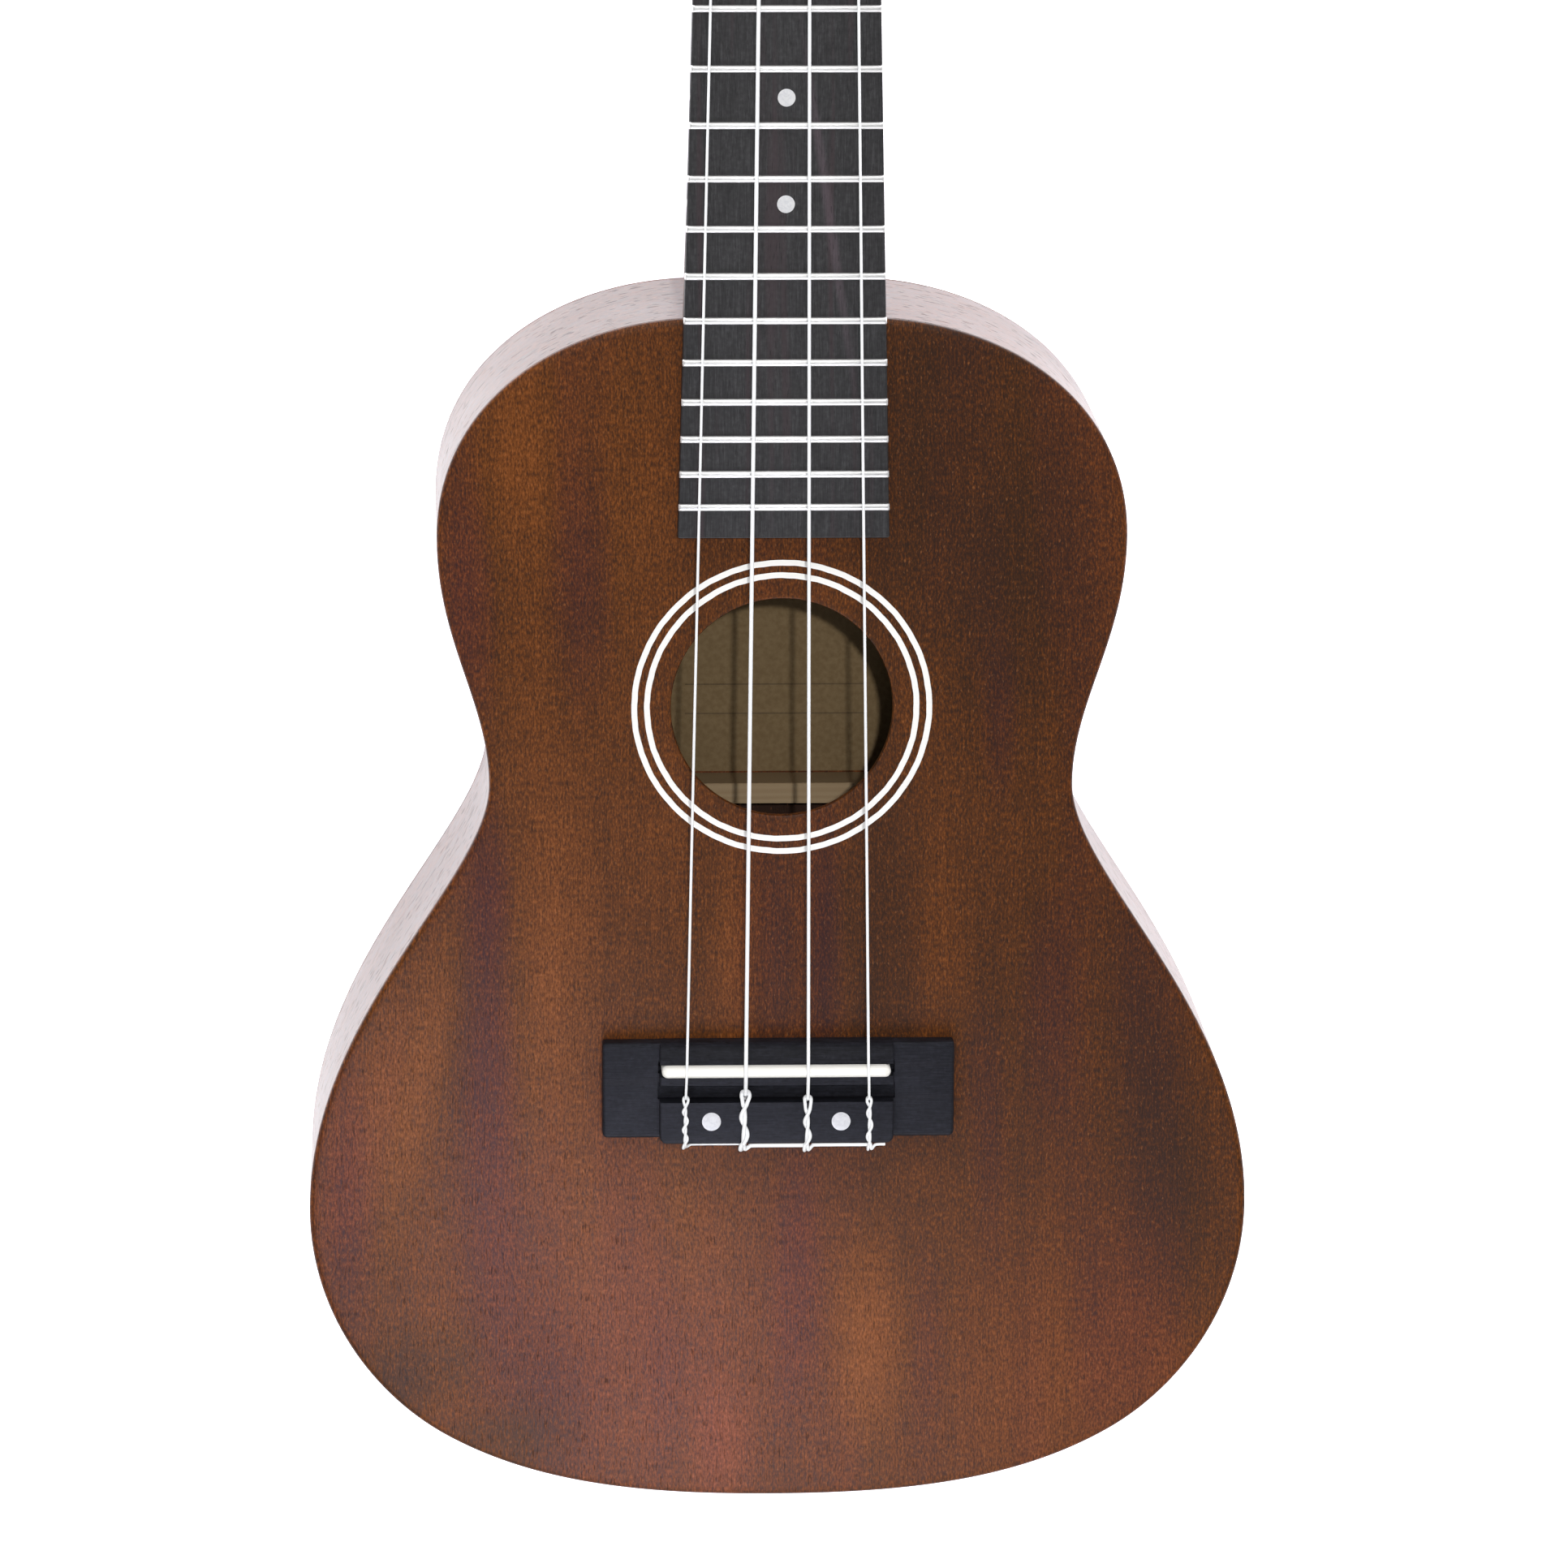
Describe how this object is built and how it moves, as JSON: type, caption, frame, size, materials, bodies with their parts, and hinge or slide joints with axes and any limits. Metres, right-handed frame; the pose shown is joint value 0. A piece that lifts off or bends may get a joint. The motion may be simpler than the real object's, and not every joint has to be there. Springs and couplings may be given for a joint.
{
  "type": "concert ukulele",
  "caption": "Concert ukulele with a waisted mahogany body, round sound hole with white rings, dark fretboard and tie bridge, nylon strings and open-gear tuners.",
  "frame": {"origin": "outer face of the back, on the centre line, directly under the theoretical saddle line (380 mm from the nut)", "axes": "+Z out of the soundboard, +Y from the bridge to the headstock, +X to the treble side"},
  "size_m": [0.2156, 0.6203, 0.0683],
  "materials": {
    "mahogany_top": "satin, ribbon-figured",
    "mahogany_side": "satin",
    "mahogany_back": "satin",
    "neck_wood": "satin",
    "spruce": "raw",
    "dark_wood": "satin, near black",
    "bone": "polished white",
    "fret_wire": "nickel silver",
    "nylon": "clear white",
    "nickel": "nickel plated",
    "pearl_plastic": "pearl white"
  },
  "bodies": {
    "root": {"soundboard": "mahogany_top", "back_plate": "mahogany_back", "rib_bass": "mahogany_side", "rib_treble": "mahogany_side", "neck_block": "spruce", "tail_block": "spruce", "lining_top_bass": "spruce", "lining_top_treble": "spruce", "lining_back_bass": "spruce", "lining_back_treble": "spruce", "top_brace_upper": "spruce", "top_brace_lower": "spruce", "back_brace_upper": "spruce", "back_brace_lower": "spruce", "bridge_patch": "spruce", "neck": "neck_wood", "headstock_veneer": "dark_wood", "fretboard": "dark_wood", "fret_01": "fret_wire", "fret_02": "fret_wire", "fret_03": "fret_wire", "fret_04": "fret_wire", "fret_05": "fret_wire", "fret_06": "fret_wire", "fret_07": "fret_wire", "fret_08": "fret_wire", "fret_09": "fret_wire", "fret_10": "fret_wire", "fret_11": "fret_wire", "fret_12": "fret_wire", "fret_13": "fret_wire", "fret_14": "fret_wire", "fret_15": "fret_wire", "fret_16": "fret_wire", "fret_17": "fret_wire", "fret_18": "fret_wire", "fret_19": "fret_wire", "nut": "bone", "bridge": "dark_wood", "saddle": "bone", "string_g": "nylon", "string_c": "nylon", "string_e": "nylon", "string_a": "nylon", "tuner_plate_bass_lower": "nickel", "tuner_plate_bass_upper": "nickel", "tuner_plate_treble_lower": "nickel", "tuner_plate_treble_upper": "nickel"},
    "worm_bass_lower": {"tuner_worm_bass_lower": "nickel", "tuner_button_bass_lower": "pearl_plastic"},
    "post_bass_lower": {"tuner_post_bass_lower": "nickel"},
    "worm_bass_upper": {"tuner_worm_bass_upper": "nickel", "tuner_button_bass_upper": "pearl_plastic"},
    "post_bass_upper": {"tuner_post_bass_upper": "nickel"},
    "worm_treble_lower": {"tuner_worm_treble_lower": "nickel", "tuner_button_treble_lower": "pearl_plastic"},
    "post_treble_lower": {"tuner_post_treble_lower": "nickel"},
    "worm_treble_upper": {"tuner_worm_treble_upper": "nickel", "tuner_button_treble_upper": "pearl_plastic"},
    "post_treble_upper": {"tuner_post_treble_upper": "nickel"}
  },
  "joints": [
    {"name": "button_turn_bass_lower", "type": "hinge", "parent": "root", "child": "worm_bass_lower", "pos_m": [-0.017, 0.40927, 0.03437], "axis": [-1, 0, 0], "continuous": true},
    {"name": "post_turn_bass_lower", "type": "hinge", "parent": "root", "child": "post_bass_lower", "pos_m": [-0.017, 0.42051, 0.04952], "axis": [0, 0.2079, 0.9781], "continuous": true},
    {"name": "button_turn_bass_upper", "type": "hinge", "parent": "root", "child": "worm_bass_upper", "pos_m": [-0.017, 0.45035, 0.02564], "axis": [-1, 0, 0], "continuous": true},
    {"name": "post_turn_bass_upper", "type": "hinge", "parent": "root", "child": "post_bass_upper", "pos_m": [-0.017, 0.4616, 0.04078], "axis": [0, 0.2079, 0.9781], "continuous": true},
    {"name": "button_turn_treble_lower", "type": "hinge", "parent": "root", "child": "worm_treble_lower", "pos_m": [0.017, 0.40927, 0.03437], "axis": [1, 0, 0], "continuous": true},
    {"name": "post_turn_treble_lower", "type": "hinge", "parent": "root", "child": "post_treble_lower", "pos_m": [0.017, 0.42051, 0.04952], "axis": [0, 0.2079, 0.9781], "continuous": true},
    {"name": "button_turn_treble_upper", "type": "hinge", "parent": "root", "child": "worm_treble_upper", "pos_m": [0.017, 0.45035, 0.02564], "axis": [1, 0, 0], "continuous": true},
    {"name": "post_turn_treble_upper", "type": "hinge", "parent": "root", "child": "post_treble_upper", "pos_m": [0.017, 0.4616, 0.04078], "axis": [0, 0.2079, 0.9781], "continuous": true}
  ],
  "couplings": [
    {"joint": "post_turn_bass_lower", "follows": "button_turn_bass_lower", "ratio": -0.071429},
    {"joint": "post_turn_bass_upper", "follows": "button_turn_bass_upper", "ratio": -0.071429},
    {"joint": "post_turn_treble_lower", "follows": "button_turn_treble_lower", "ratio": -0.071429},
    {"joint": "post_turn_treble_upper", "follows": "button_turn_treble_upper", "ratio": -0.071429}
  ]
}
